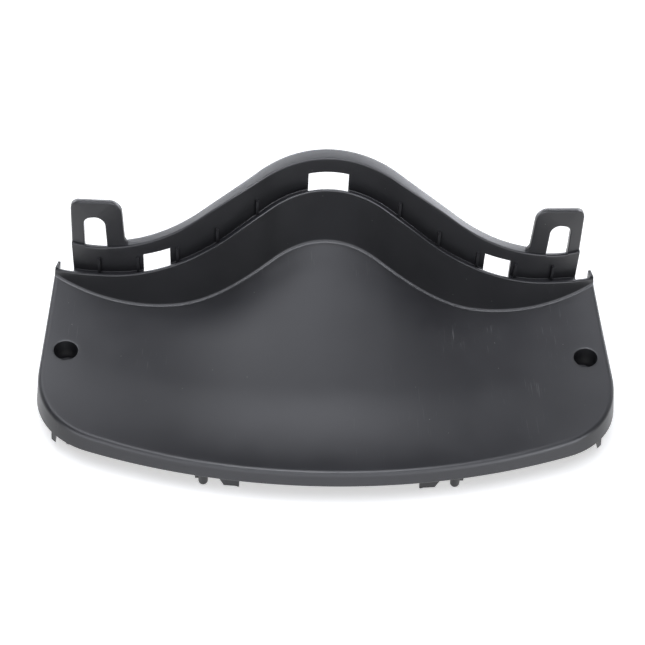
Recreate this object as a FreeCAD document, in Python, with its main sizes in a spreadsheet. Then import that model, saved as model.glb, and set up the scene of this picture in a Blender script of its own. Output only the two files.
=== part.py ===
import FreeCAD, Part
import math
import os
import Sketcher
from FreeCAD import Vector

# Driving dimensions in millimetres and degrees.
# Plan datum: y = 0 at the foot of the front rim, +y to the rear. Heights are over the resting surface.
sizes = {
    "foot_width": 326,            # across the front corners, at the level of the resting surface
    "rear_foot_width": 322,       # across the rear ends of the side skirts
    "front_radius": 370,          # front edge in plan
    "corner_radius": 48,          # front corners in plan
    "rim_lean": 20.8,             # degrees that the front rim leans out at its foot
    "side_draft": 5.7,            # degrees that the side skirts lean out
    "rim_clearance": 12,          # foot of the front rim over the resting surface
    "rim_height": 7.8,            # foot of the rim to the edge of the panel, at the middle
    "corner_lift": 3.5,           # how far that edge rises towards the front corners
    "wall": 2.5,                  # moulded wall
    "skirt_foot": 30,             # flat foot at the rear of each skirt
    "skirt_rise_start": 62,       # where the skirt's lower edge leaves the rim's level
    "fin_length": 10,             # how far the skirts run on behind the lower wall
    "fin_height": 46,             # top of the rear fins
    "fin_radius": 6,              # round at the rear of the fins
    "valley_height": 28.3,        # panel at the wall, beside the hump
    "hump_rise": 22,              # hump over the valleys at the wall
    "hump_half_width": 88,        # centre line to the valleys
    "corner_rise": 13.2,          # rear corners of the panel over the valleys
    "panel_ease": 0.45,           # share of the mean slope at the front of the panel
    "shoulder_depth": 126,        # front edge to the foremost part of the lower wall
    "bay_depth": 36,              # how far the wall steps back at the centre
    "shoulder_spacing": 210,      # between the two foremost parts of the wall
    "bay_crown_share": 0.305,     # share of the bay's curve in its crown arc
    "lip": 2.2,                   # width of the ridge
    "ridge_height": 47.3,         # ridge at the sides
    "ridge_rise": 39.6,           # ridge at the centre over the sides
    "ridge_spacing": 300,         # between the lowest points of the ridge
    "ridge_crown_share": 0.36,    # share of the ridge's curve in its crown arc
    "groove_width": 5,            # ridge to the upper wall
    "groove_depth": 3,            # ridge to the ledge behind it
    "upper_height": 14.2,         # ridge to the top of the flange, at the sides
    "upper_rise": 42.8,           # flange at the centre over the sides
    "upper_crown_share": 0.48,    # share of the flange's line in its crown arc
    "upper_width": 294,           # across the upper wall
    "flange_depth": 14.3,         # lower wall to the flange's rear edge at the shoulders
    "flange_bay_depth": 39.1,     # how far the flange's rear edge steps back
    "flange_crown_share": 0.387,
    "tab_spacing": 262.8,
    "tab_width": 31.3,            # at the foot
    "tab_taper": 1.1,             # on each side, foot to top
    "tab_height": 28.9,           # over the flange
    "tab_thickness": 3.5,
    "tab_set_back": 2.1,          # upper wall's face to the tab's
    "tab_corner": 6.5,
    "tab_gusset": 3,              # web at the inner foot
    "slot_spacing": 265.7,
    "slot_width": 13.3,           # at the foot
    "slot_taper": 0.45,
    "slot_height": 20.3,          # over the flange
    "slot_sink": 0.6,             # foot of the slots below the flange
    "slot_corner": 6,
    "window_width": 23.4,         # centre snap window
    "side_window_width": 15.3,
    "side_window_spacing": 196,
    "window_height": 11,          # over the ledge
    "window_edge": 0.6,           # ledge left behind the ridge
    "rib_first": 41,              # centre line to the first gusset rib
    "rib_pitch": 22.6,
    "rib_count": 5,
    "rib_thickness": 1.5,
    "rib_height": 10,             # over the ledge
    "rib_depth": 2,               # out from the upper wall
    "screw_spacing": 293.7,
    "screw_depth": 86.9,          # front edge to the screw recesses
    "recess_diameter": 13,
    "recess_depth": 12,
    "screw_hole": 6,
    "boss_wall": 2,
    "peg_spacing": 135.4,
    "peg_diameter": 5.2,
    "peg_set_back": 7,            # rim's foot to the peg's centre
    "web_reach": 4.4,             # peg's centre to the outer end of the web beside it
    "web_thickness": 1.8,
    "web_lift": 4.7,              # foot of the web over the resting surface
    "corner_peg_spacing": 282.5,
    "corner_peg_diameter": 4,
    "corner_peg_drop": 6.7,       # below the rim
    "corner_rib_spacing": 299,
    "corner_rib_thickness": 2.6,
    "corner_rib_length": 7,
    "corner_rib_drop": 4.5,       # below the rim
    "tongue_spacing": 107.4,
    "tongue_width": 10.7,
    "tongue_thickness": 2.2,
    "tongue_lift": 2,             # foot of the tongues over the resting surface
    "tongue_taper": 2.4,          # cut away at the outer corner, across
    "tongue_taper_height": 5,     # and upwards
    "tongue_nib": 1.1,            # nib at the inner corner
    "base_round": 1.8,            # panel into the lower wall
    "rim_round": 1.4,             # panel over the rim
}

doc = FreeCAD.newDocument("leg_shield")
sheet = doc.addObject("Spreadsheet::Sheet", "sizes")
for row, (alias, value) in enumerate(sizes.items(), 1):
    sheet.set(f"A{row}", alias)
    sheet.set(f"B{row}", str(value))
    sheet.setAlias(f"B{row}", alias)
doc.recompute()


def size(alias):
    return float(getattr(sheet, alias))


def bind(obj, expressions):
    for path, expression in expressions.items():
        obj.setExpression(path, expression)
    return obj


def shaped(name, shape):
    obj = doc.addObject("Part::Feature", name)
    obj.Shape = shape
    return obj


def extruded(name, base, direction, length):
    obj = doc.addObject("Part::Extrusion", name)
    obj.Base = base
    obj.DirMode = "Custom"
    obj.Dir = direction
    obj.Solid = True
    obj.setExpression("LengthFwd", length)
    return obj


def pair(kind, name, base, tool):
    obj = doc.addObject(kind, name)
    obj.Base = base
    obj.Tool = tool
    return obj


def common(name, base, tool):
    return pair("Part::Common", name, base, tool)


def cut(name, base, tool):
    return pair("Part::Cut", name, base, tool)


def fused(name, shapes):
    obj = doc.addObject("Part::MultiFuse", name)
    obj.Shapes = shapes
    return obj


def rounded(name, base, radius, chosen):
    # Rounds the edges of a feature whose middle stretch passes a test of place.
    doc.recompute()
    edges = []
    for number, edge in enumerate(base.Shape.Edges, 1):
        spots = edge.discretize(Number=5)[1:-1]
        if all(chosen(spot) for spot in spots):
            edges.append((number, size(radius), size(radius)))
    obj = doc.addObject("Part::Fillet", name)
    obj.Base = base
    obj.Edges = edges
    return obj


class Level:
    # A straight line at one height.
    def __init__(self, height):
        self.height = height

    def at(self, x):
        return self.height

    def edges(self, reach, point):
        return [Part.LineSegment(point(-reach, self.height), point(reach, self.height)).toShape()]


class Bell:
    # A bell-shaped curve of three tangent arcs: a crown on the centre line and a foot arc on each side.
    def __init__(self, base, rise, half_span, crown_share, offset=0):
        total = (half_span ** 2 + rise ** 2) / (2 * rise)
        self.half_span = half_span
        self.crown = crown_share * total + offset
        self.foot = (1 - crown_share) * total - offset
        self.crown_centre = base + rise - crown_share * total
        self.foot_centre = base + (1 - crown_share) * total
        self.join = half_span * self.crown / total

    def at(self, x):
        x = abs(x)
        if x < self.join:
            return self.crown_centre + math.sqrt(self.crown ** 2 - x ** 2)
        return self.foot_centre - math.sqrt(self.foot ** 2 - (x - self.half_span) ** 2)

    def edges(self, reach, point):
        middle = (reach + self.join) / 2
        stations = [-reach, -middle, -self.join, 0, self.join, middle, reach]
        points = [point(x, self.at(x)) for x in stations]
        return [Part.Arc(*points[i:i + 3]).toShape() for i in (0, 2, 4)]


# Derived places
half_width = size("foot_width") / 2
rear_half = size("rear_foot_width") / 2
widest = max(half_width, rear_half)
lean = math.tan(math.radians(size("rim_lean")))
draft = math.tan(math.radians(size("side_draft")))
edge_height = size("rim_clearance") + size("rim_height")
half_span = size("shoulder_spacing") / 2
upper_face = size("lip") + size("groove_width")
upper_back = upper_face + size("wall")
ledge = -size("groove_depth")
upper_half = size("upper_width") / 2
wall_reach = rear_half - size("wall") / 2 - size("ridge_height") * draft
tab_face = upper_face + size("tab_set_back")
tab_back = tab_face + size("tab_thickness")
top = "sizes.ridge_height + sizes.ridge_rise + sizes.upper_height + sizes.tab_height"
across = "max(sizes.foot_width; sizes.rear_foot_width)"
rear = "sizes.shoulder_depth + sizes.bay_depth + sizes.flange_depth + sizes.flange_bay_depth"
rear_y = size("shoulder_depth") + size("bay_depth") + size("flange_depth") + size("flange_bay_depth")
near = 0.2 * size("wall")
up = Vector(0, 0, 1)
down = Vector(0, 0, -1)
back = Vector(0, 1, 0)


def wall_curve(offset):
    return Bell(size("shoulder_depth"), size("bay_depth"), half_span, size("bay_crown_share"), offset)


def ridge_curve(rise_over):
    return Bell(size("ridge_height") + rise_over, size("ridge_rise"), size("ridge_spacing") / 2,
                size("ridge_crown_share"))


def flange_line(rise_over):
    # Top of the upper wall and its flange in front view.
    return Bell(size("ridge_height") + size("upper_height") + rise_over, size("upper_rise"),
                size("ridge_spacing") / 2, size("upper_crown_share"))


def flange_curve():
    return Bell(size("shoulder_depth") + size("flange_depth"), size("flange_bay_depth"), half_span,
                size("flange_crown_share"))


def in_plan(x, y):
    return Vector(x, y, 0)


def in_front(x, z):
    return Vector(x, 0, z)


def between(first, last, reach, point):
    # Face between two curves, closed by a straight line at each end.
    ends = [Part.LineSegment(point(x, first.at(x)), point(x, last.at(x))).toShape() for x in (-reach, reach)]
    edges = first.edges(reach, point) + last.edges(reach, point) + ends
    return Part.Face(Part.Wire(Part.__sortEdges__(edges)))


def strip(name, first, last):
    # Upright band that follows the wall in plan.
    face = shaped(name + "_plan", between(first, last, widest, in_plan))
    return extruded(name, face, up, top)


def band(name, first, last, reach):
    # Level band that follows the ridge in front view.
    face = shaped(name + "_front", between(first, last, reach, in_front))
    return extruded(name, face, back, rear)


def edge_at_wall(x):
    # Height of the panel along the lower wall: a hump, two valleys and rising corners.
    x = abs(x)
    reach = size("hump_half_width")
    if x < reach:
        return size("valley_height") + size("hump_rise") * (1 + math.cos(math.pi * x / reach)) / 2
    return size("valley_height") + size("corner_rise") * ((x - reach) / (half_width - reach)) ** 2


def front_edge(x, height):
    radius = size("front_radius")
    return (height - size("rim_clearance")) * lean + radius - math.sqrt(radius ** 2 - x ** 2)


def panel_height(x, share):
    # Height at a share of the way from the front edge (0) to the lower wall (1).
    ease = size("panel_ease")
    edge = edge_height + size("corner_lift") * (x / half_width) ** 4
    return edge + (edge_at_wall(x) - edge) * (ease * share + (1 - ease) * share ** 2)


def panel_point(x, share):
    front = front_edge(x, edge_height)
    return Vector(x, front + share * (wall_curve(0).at(x) - front), panel_height(x, share))


def panel_height_at(x, y):
    front = front_edge(x, edge_height)
    return panel_height(x, (y - front) / (wall_curve(0).at(x) - front))


def on_panel(point):
    return abs(point.z - panel_height_at(point.x, point.y)) < near


def panel_skin(name, sink):
    # The panel's upper face, sunk by a given amount and wider than the panel all round.
    columns, rows = 16, 6
    over_x, over_front, over_rear = 1.03, 0.15, 0.2
    grid = []
    for i in range(columns + 1):
        x = widest * over_x * (2 * i / columns - 1)
        shares = [-over_front + (1 + over_front + over_rear) * j / rows for j in range(rows + 1)]
        grid.append([panel_point(x, share) - Vector(0, 0, sink) for share in shares])
    surface = Part.BSplineSurface()
    surface.interpolate(grid)
    return shaped(name, surface.toShape())


def under(name, sink):
    return extruded(name, panel_skin(name + "_skin", sink), down, top)


def outline(name, inset, height, back_y):
    # Plan outline of the skirts at a height: front arc, two corner arcs, two sides and a straight back.
    sketch = doc.addObject("Sketcher::SketchObject", name)
    radius, corner, half = size("front_radius"), size("corner_radius"), half_width
    turn = math.asin((half - corner) / (radius - corner))
    level = radius - (radius - corner) * math.cos(turn)
    far = rear_y
    low = 1.5 * math.pi

    def arc(x, y, r, start, end):
        return Part.ArcOfCircle(Part.Circle(Vector(x, y, 0), up, r), start, end)

    sketch.addGeometry([
        arc(0, radius, radius, low - turn, low + turn),
        arc(half - corner, level, corner, low + turn, 2 * math.pi),
        Part.LineSegment(Vector(half, level, 0), Vector(half, far, 0)),
        Part.LineSegment(Vector(half, far, 0), Vector(-half, far, 0)),
        Part.LineSegment(Vector(-half, far, 0), Vector(-half, level, 0)),
        arc(corner - half, level, corner, math.pi, low - turn),
    ])
    front, right, right_side, rear_side, left_side, left = range(6)
    start, end, centre = range(1, 4)
    axis_y, origin = range(-2, 0)
    sketch.addConstraint([
        Sketcher.Constraint("Tangent", front, end, right, start),
        Sketcher.Constraint("Tangent", right, end, right_side, start),
        Sketcher.Constraint("Coincident", right_side, end, rear_side, start),
        Sketcher.Constraint("Coincident", rear_side, end, left_side, start),
        Sketcher.Constraint("Tangent", left_side, end, left, start),
        Sketcher.Constraint("Tangent", left, end, front, start),
        Sketcher.Constraint("PointOnObject", front, centre, axis_y),
        Sketcher.Constraint("Equal", right, left),
        Sketcher.Constraint("Symmetric", rear_side, start, rear_side, end, axis_y),
    ])
    slant = f"({height}) * tan(sizes.side_draft * 1 deg)"
    corner_x = f"sizes.foot_width / 2 - sizes.corner_radius - {slant}"
    driven = [
        (Sketcher.Constraint("Radius", front, radius), f"sizes.front_radius - {inset}"),
        (Sketcher.Constraint("Radius", right, corner), f"sizes.corner_radius - {inset}"),
        (Sketcher.Constraint("DistanceX", origin, start, right, centre, half - corner), corner_x),
        (Sketcher.Constraint("DistanceX", left, centre, origin, start, half - corner), corner_x),
        (Sketcher.Constraint("DistanceX", rear_side, end, rear_side, start, 2 * half),
         f"sizes.rear_foot_width - 2 * ({inset}) - 2 * {slant}"),
        (Sketcher.Constraint("DistanceY", origin, start, front, centre, radius),
         f"sizes.front_radius + ({height} - sizes.rim_clearance) * tan(sizes.rim_lean * 1 deg)"),
        (Sketcher.Constraint("DistanceY", origin, start, rear_side, start, far), back_y),
    ]
    for constraint, expression in driven:
        index = sketch.addConstraint(constraint)
        sketch.setExpression(f"Constraints[{index}]", expression)
    sketch.setExpression("Placement.Base.z", height)
    return sketch


def drafted(name, inset, back_y):
    loft = doc.addObject("Part::Loft", name)
    loft.Sections = [outline(name + "_foot", inset, "0", back_y), outline(name + "_top", inset, top, back_y)]
    loft.Solid = True
    loft.Ruled = True
    return loft


def skirted_panel():
    # Panel, rim, side skirts and rear fins: one shell, open below and behind.
    fin_start = wall_curve(size("lip") / 2).at(wall_reach)
    fin_inner = rear_half - 2 * size("wall") - size("fin_height") * draft
    radius = size("fin_radius")
    fin_top, fin_end = size("fin_height"), fin_start + size("fin_length")
    bend = radius * (1 - math.sqrt(0.5))
    fins = []
    for name, side in (("left_fin", -1), ("right_fin", 1)):
        x = side * fin_inner
        corners = [Vector(x, fin_start, 0), Vector(x, fin_start, fin_top),
                   Vector(x, fin_end - radius, fin_top)]
        round_mid = Vector(x, fin_end - bend, fin_top - bend)
        round_end = Vector(x, fin_end, fin_top - radius)
        foot = Vector(x, fin_end, 0)
        edges = [Part.LineSegment(corners[0], corners[1]), Part.LineSegment(corners[1], corners[2]),
                 Part.Arc(corners[2], round_mid, round_end), Part.LineSegment(round_end, foot),
                 Part.LineSegment(foot, corners[0])]
        face = shaped(name + "_side", Part.Face(Part.Wire([edge.toShape() for edge in edges])))
        fins.append(extruded(name, face, Vector(side, 0, 0), across))
    outer = drafted("outer", "0", rear)
    inner = drafted("inner", "sizes.wall", rear + " + sizes.wall")
    sharp_block = common("sharp_block", outer, fused("block_top", [under("under_panel", 0)] + fins))
    block = rounded("block", sharp_block, "rim_round", lambda p: on_panel(p) and p.y < fin_start - near)
    rear_bay = strip("rear_bay", wall_curve(size("lip")), Level(rear_y))
    hollow = common("hollow", inner, fused("hollow_top", [under("under_hollow", size("wall")), rear_bay]))
    tray = cut("tray", block, hollow)
    below = -size("wall")
    foot_start = fin_end - size("skirt_foot")
    foot_line = [(-half_width, below), (-half_width, size("rim_clearance")),
                 (size("skirt_rise_start"), size("rim_clearance")), (foot_start, 0), (foot_start, below)]
    points = [Vector(-widest, y, z) for y, z in foot_line]
    face = shaped("foot_side", Part.Face(Part.makePolygon(points + points[:1])))
    trims = [extruded("foot_cut", face, Vector(1, 0, 0), across)]
    for name, x in (("left_end_cut", -widest), ("right_end_cut", half_span)):
        trim = doc.addObject("Part::Box", name)
        trim.Placement.Base = Vector(x, fin_end, 0)
        bind(trim, {"Length": f"({across} - sizes.shoulder_spacing) / 2", "Width": rear, "Height": top})
        trims.append(trim)
    return cut("skirted_panel", tray, fused("skirt_trims", trims))


def walled_panel(under_mid):
    # The shell with the lower wall on it and a round between the two.
    parts = fused("walled_block", [skirted_panel(), lower_wall(under_mid)])
    wall = wall_curve(0)
    return rounded("walled_panel", parts, "base_round",
                   lambda p: on_panel(p) and abs(p.y - wall.at(p.x)) < near)


def lower_wall(under_mid):
    upright = strip("lower_strip", wall_curve(0), wall_curve(size("lip")))
    raised = common("lower_raised", upright, band("lower_band", ridge_curve(0), Level(0), wall_reach))
    return cut("lower_wall", raised, under_mid)


def step_piece(name, inner, outer, low, high, reach=upper_half):
    # Part of the step behind the ridge: a strip in plan and a band in front view.
    return common(name, strip(name + "_strip", inner, outer), band(name + "_band", low, high, reach))


def upper_step():
    half_wall = size("wall") / 2
    ledge_floor = step_piece("ledge", wall_curve(size("lip") / 2), wall_curve(upper_back),
                             ridge_curve(ledge - size("wall")), ridge_curve(ledge))
    upper = step_piece("upper_wall", wall_curve(upper_face), wall_curve(upper_back),
                       ridge_curve(ledge - half_wall), flange_line(-half_wall))
    flange = step_piece("flange", wall_curve(upper_face), flange_curve(),
                        flange_line(-size("wall")), flange_line(0), size("tab_spacing") / 2)
    return [ledge_floor, upper, flange]


def slab(name, x, width):
    # Upright slice of the given width, centred at x and as deep and tall as the whole part.
    obj = doc.addObject("Part::Box", name)
    obj.Placement.Base = Vector(x - size(width) / 2, 0, 0)
    return bind(obj, {"Length": f"sizes.{width}", "Width": rear, "Height": top})


def gusset_ribs():
    # Thin ribs on the front of the upper wall, standing on the ledge.
    slices = []
    for side in (-1, 1):
        for i in range(int(size("rib_count"))):
            x = side * (size("rib_first") + i * size("rib_pitch"))
            slices.append(slab("rib_slice", x, "rib_thickness"))
    block = step_piece("rib_block", wall_curve(upper_face - size("rib_depth")),
                       wall_curve(upper_face + size("wall") / 2),
                       ridge_curve(ledge - size("wall") / 2), ridge_curve(ledge + size("rib_height")))
    return common("gusset_ribs", block, fused("rib_slices", slices))


def snap_windows():
    # Openings through the foot of the upper wall and the ledge below it.
    side = size("side_window_spacing") / 2
    slices = [slab("centre_slice", 0, "window_width"), slab("left_slice", -side, "side_window_width"),
              slab("right_slice", side, "side_window_width")]
    block = step_piece("window_block", wall_curve(size("lip") + size("window_edge")), Level(rear_y),
                       ridge_curve(ledge - 2 * size("wall")), ridge_curve(ledge + size("window_height")))
    return common("snap_windows", block, fused("window_slices", slices))


def profile(name, corners):
    # Upright face towards the front through (x, z, radius) corners. A round is limited by the sides it joins.
    points = [Vector(x, 0, z) for x, z, radius in corners]
    rounds = []
    for i, corner in enumerate(points):
        before, after = points[i - 1] - corner, points[(i + 1) % len(points)] - corner
        half_angle = before.getAngle(after) / 2
        reach = min(corners[i][2] / math.tan(half_angle), 0.49 * min(before.Length, after.Length))
        before.normalize()
        after.normalize()
        sink = reach * (1 / math.cos(half_angle) - math.tan(half_angle))
        middle = corner + (before + after).normalize() * sink
        rounds.append((corner + before * reach, middle, corner + after * reach))
    edges = []
    for i, (start, middle, end) in enumerate(rounds):
        if corners[i][2] > 0:
            edges.append(Part.Arc(start, middle, end))
        edges.append(Part.LineSegment(end, rounds[(i + 1) % len(rounds)][0]))
    return shaped(name, Part.Face(Part.Wire([edge.toShape() for edge in edges])))


def arched(name, side, spacing, width, taper, foot, head, corner, gusset=0):
    # Tapered prism between two lines in front view, with rounded upper corners and a web at its inner foot.
    inner, outer = (size(spacing) - size(width)) / 2, (size(spacing) + size(width)) / 2
    high_inner, high_outer = inner + size(taper), outer - size(taper)
    corners = [(inner, foot.at(inner) + 2 * gusset, 0), (high_inner, head.at(high_inner), size(corner)),
               (high_outer, head.at(high_outer), size(corner)), (outer, foot.at(outer), 0)]
    if gusset:
        corners.append((inner - gusset, foot.at(inner - gusset), 0))
    face = profile(name + "_face", [(side * x, z, radius) for x, z, radius in corners])
    return extruded(name, face, back, rear)


def slotted_tabs():
    # Two upright tabs that follow the upper wall on the ends of the flange, and the slots through them.
    wall = size("wall")
    tab_foot, tab_head = flange_line(-wall / 2), flange_line(size("tab_height"))
    slot_foot, slot_head = flange_line(-size("slot_sink")), flange_line(size("slot_height"))
    plates, slots, pad_slices, slot_slices = [], [], [], []
    for name, side in (("left", -1), ("right", 1)):
        plates.append(arched(name + "_plate", side, "tab_spacing", "tab_width", "tab_taper",
                             tab_foot, tab_head, "tab_corner", size("tab_gusset")))
        slots.append(arched(name + "_slot", side, "slot_spacing", "slot_width", "slot_taper",
                            slot_foot, slot_head, "slot_corner"))
        pad_slices.append(slab(name + "_pad_slice", side * size("tab_spacing") / 2, "tab_width"))
        slot_slices.append(slab(name + "_slot_slice", side * size("slot_spacing") / 2, "slot_width"))
    tab_strip = strip("tab_strip", wall_curve(tab_face), wall_curve(tab_back))
    tabs = common("tabs", tab_strip, fused("plates", plates))
    pad = step_piece("tab_pad", wall_curve(upper_face), wall_curve(tab_back),
                     flange_line(-wall), flange_line(0), widest)
    notch = step_piece("notch_block", wall_curve(upper_back), Level(rear_y),
                       flange_line(-2 * wall), flange_line(wall), widest)
    pads = common("tab_pads", pad, fused("pad_slices", pad_slices))
    slots.append(common("slot_notches", notch, fused("slot_slices", slot_slices)))
    return [tabs, pads], slots


def cylinder(name, x, y, z, diameter, height):
    obj = doc.addObject("Part::Cylinder", name)
    obj.Placement.Base = Vector(x, y, z)
    return bind(obj, {"Radius": f"sizes.{diameter} / 2", "Height": height})


def screw_bosses(under_mid):
    # Sunk screw seats near the sides: a boss below the panel, a wide recess and a hole through its floor.
    bosses, bores = [], []
    for name, side in (("left", -1), ("right", 1)):
        x, y = side * size("screw_spacing") / 2, size("screw_depth")
        floor = panel_height_at(x, y) - size("recess_depth")
        boss = doc.addObject("Part::Cylinder", name + "_boss")
        boss.Placement.Base = Vector(x, y, floor - size("wall"))
        bind(boss, {"Radius": "sizes.recess_diameter / 2 + sizes.boss_wall", "Height": top})
        bosses.append(common(name + "_boss_end", boss, under_mid))
        bores.append(cylinder(name + "_recess", x, y, floor, "recess_diameter", top))
        bores.append(cylinder(name + "_screw_hole", x, y, 0, "screw_hole", top))
    return bosses, bores


def round_peg(name, x, y, foot, diameter, inside):
    # Round peg with a domed foot that hangs from the panel beside the rim.
    radius = size(diameter) / 2
    shank = cylinder(name + "_shank", x, y, foot + radius, diameter, top)
    dome = doc.addObject("Part::Sphere", name + "_dome")
    dome.Placement.Base = Vector(x, y, foot + radius)
    bind(dome, {"Radius": f"sizes.{diameter} / 2"})
    return common(name, fused(name + "_whole", [shank, dome]), inside)


def hung_rib(name, x, y, foot, length, width, inside):
    # Small rib that hangs from the panel, centred at a place in plan.
    block = doc.addObject("Part::Box", name + "_block")
    block.Placement.Base = Vector(x - size(length) / 2, y - size(width) / 2, foot)
    bind(block, {"Length": f"sizes.{length}", "Width": f"sizes.{width}", "Height": top})
    return common(name, block, inside)


def front_clips(inside):
    # Pegs, ribs and clip tongues behind the front rim.
    rim_foot, set_back = size("rim_clearance"), size("peg_set_back")
    clips = []
    for name, side in (("left", -1), ("right", 1)):
        x = side * size("peg_spacing") / 2
        y = front_edge(x, rim_foot) + set_back
        clips.append(round_peg(name + "_peg", x, y, 0, "peg_diameter", inside))
        clips.append(hung_rib(name + "_web", x + side * size("web_reach") / 2, y, size("web_lift"),
                              "web_reach", "web_thickness", inside))
        x = side * size("corner_peg_spacing") / 2
        clips.append(round_peg(name + "_corner_peg", x, corner_edge(x) + set_back,
                               rim_foot - size("corner_peg_drop"), "corner_peg_diameter", inside))
        x = side * size("corner_rib_spacing") / 2
        y = corner_edge(x) + size("wall") / 2 + size("corner_rib_length") / 2
        clips.append(hung_rib(name + "_corner_rib", x, y, rim_foot - size("corner_rib_drop"),
                              "corner_rib_thickness", "corner_rib_length", inside))
        clips.append(clip_tongue(name + "_tongue", side, inside))
    return clips


def clip_tongue(name, side, inside):
    # Flat tongue with its outer corner cut away and a nib at the inner one.
    middle, half = size("tongue_spacing") / 2, size("tongue_width") / 2
    outer, inner, nib = middle + half, middle - half, size("tongue_nib")
    foot, cut_away = size("tongue_lift"), size("tongue_taper")
    corners = [(outer, edge_height), (outer, foot + size("tongue_taper_height")), (outer - cut_away, foot),
               (inner + 2 * nib, foot), (inner + nib, foot - nib), (inner, foot - nib), (inner, edge_height)]
    y = front_edge(middle, size("rim_clearance")) + size("peg_set_back") - size("tongue_thickness") / 2
    points = [Vector(side * x, y, z) for x, z in corners]
    face = shaped(name + "_face", Part.Face(Part.makePolygon(points + points[:1])))
    return common(name, extruded(name + "_blade", face, back, "sizes.tongue_thickness"), inside)


def corner_edge(x):
    # Rim's foot on the front corner arc.
    radius, corner = size("front_radius"), size("corner_radius")
    half = half_width - size("rim_clearance") * draft
    turn = math.asin((half - corner) / (radius - corner))
    centre_y = radius - (radius - corner) * math.cos(turn)
    return centre_y - math.sqrt(corner ** 2 - (abs(x) - (half - corner)) ** 2)


under_mid = under("under_mid", size("wall") / 2)
inside = common("inside", drafted("mid_skirt", "sizes.wall / 2", rear), under_mid)
tabs, slots = slotted_tabs()
bosses, bores = screw_bosses(under_mid)
solids = [walled_panel(under_mid)] + upper_step() + [gusset_ribs()]
solids += tabs + bosses + front_clips(inside)
moulding = fused("moulding", solids)
openings = fused("openings", [snap_windows()] + slots + bores)
leg_shield = cut("leg_shield", moulding, openings)
leg_shield.Label = "leg_shield"
leg_shield.Refine = True
doc.recompute()

for obj in doc.Objects:
    if "Invalid" in obj.State or "Error" in obj.State:
        raise RuntimeError(f"{obj.Name} failed: {obj.State}")

# Origin at the bottom centre of the moulding's box.
extent = leg_shield.Shape.optimalBoundingBox(False, False)
leg_shield.Placement.Base = Vector(-extent.Center.x, -extent.Center.y, -extent.ZMin)
shape = leg_shield.Shape
if shape.isNull() or not shape.isValid() or len(shape.Solids) != 1:
    raise RuntimeError("leg_shield is not one valid solid")
os.makedirs("parts", exist_ok=True)
shape.exportStep("parts/leg_shield.step")
print("size", shape.optimalBoundingBox(False, False), "volume", round(shape.Volume))
print("set back", round(extent.Center.y, 2))
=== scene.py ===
import math
import bpy
import bmesh
from mathutils import Matrix, Vector


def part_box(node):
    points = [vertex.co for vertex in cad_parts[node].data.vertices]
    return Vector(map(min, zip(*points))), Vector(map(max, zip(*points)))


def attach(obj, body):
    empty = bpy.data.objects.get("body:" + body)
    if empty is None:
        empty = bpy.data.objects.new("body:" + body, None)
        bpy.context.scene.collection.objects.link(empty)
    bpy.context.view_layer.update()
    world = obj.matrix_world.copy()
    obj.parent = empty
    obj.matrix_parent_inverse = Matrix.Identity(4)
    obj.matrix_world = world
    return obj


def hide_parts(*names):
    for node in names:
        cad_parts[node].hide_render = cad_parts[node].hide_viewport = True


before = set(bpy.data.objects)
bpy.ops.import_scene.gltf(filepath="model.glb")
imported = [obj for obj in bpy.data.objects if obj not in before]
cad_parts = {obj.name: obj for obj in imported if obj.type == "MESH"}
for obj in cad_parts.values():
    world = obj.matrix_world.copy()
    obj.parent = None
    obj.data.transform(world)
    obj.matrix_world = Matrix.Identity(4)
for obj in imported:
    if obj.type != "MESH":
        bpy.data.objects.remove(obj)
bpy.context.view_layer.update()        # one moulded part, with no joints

mm = 0.001
shieldLow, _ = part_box("leg_shield")
frontY = shieldLow.y / mm       # foot of the front rim: plan depths count from here, in millimetres

# everything that the panel, the wall and the clips share, in millimetres and degrees
form = {
    "frontHalf": 163, "rearHalf": 161, "frontRadius": 370, "cornerRadius": 48, "rimLean": 20.8, "sideDraft": 5.7,
    "rimFoot": 12, "rimHeight": 7.8, "cornerLift": 3.5, "wall": 2.5, "sideEnd": 215.4,
    "valley": 28.3, "humpRise": 22, "humpHalf": 88, "cornerRise": 14.5, "cornerBend": 2.1, "ease": 0.45,
    "dishLength": 57, "dishSlope": 0.19, "dishHalf": 110, "dishLeast": 0.3,
    "shoulderDepth": 126, "bayDepth": 36, "shoulderHalf": 105, "bayShare": 0.305, "lip": 2.2,
    "ridgeHeight": 47.3, "ridgeRise": 39.6, "ridgeHalf": 150, "ridgeShare": 0.36, "ridgeEnd": 130,
    "endDrop": 3, "endSpan": 25, "endBend": 1.5,
    "upperHeight": 61.5, "upperRise": 42.8, "upperShare": 0.48, "upperFace": 7.2, "upperHalf": 147,
    "flangeDepth": 140.3, "flangeBay": 39.1, "flangeShare": 0.387, "ledgeDrop": 3,
    "tabInner": 115.75, "tabFace": 8.6, "tabBack": 12.8, "slotLow": 126.2, "slotHigh": 139.5,
}
lean = math.tan(math.radians(form["rimLean"]))
draft = math.tan(math.radians(form["sideDraft"]))


def bell(base, rise, halfSpan, share, offset=0.0):
    # three tangent arcs: a crown on the centre line and a foot on each side
    total = (halfSpan ** 2 + rise ** 2) / (2 * rise)
    crown, foot = share * total + offset, (1 - share) * total - offset
    crownCentre, footCentre = base + rise - share * total, base + (1 - share) * total
    join = halfSpan * crown / total

    def at(x):
        x = abs(x)
        if x < join:
            return crownCentre + math.sqrt(crown ** 2 - x ** 2)
        return footCentre - math.sqrt(foot ** 2 - (x - halfSpan) ** 2)
    return at


def wallY(x, offset=0.0):       # plan depth of the bell-shaped wall, or of a line behind it
    return bell(form["shoulderDepth"], form["bayDepth"], form["shoulderHalf"], form["bayShare"], offset)(x)


def ridgeZ(x):                  # top of the lower wall, which sinks a little at its ends
    past = max(0, abs(x) - form["ridgeEnd"]) / form["endSpan"]
    line = bell(form["ridgeHeight"], form["ridgeRise"], form["ridgeHalf"], form["ridgeShare"])
    return line(x) - form["endDrop"] * past ** form["endBend"]


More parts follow.
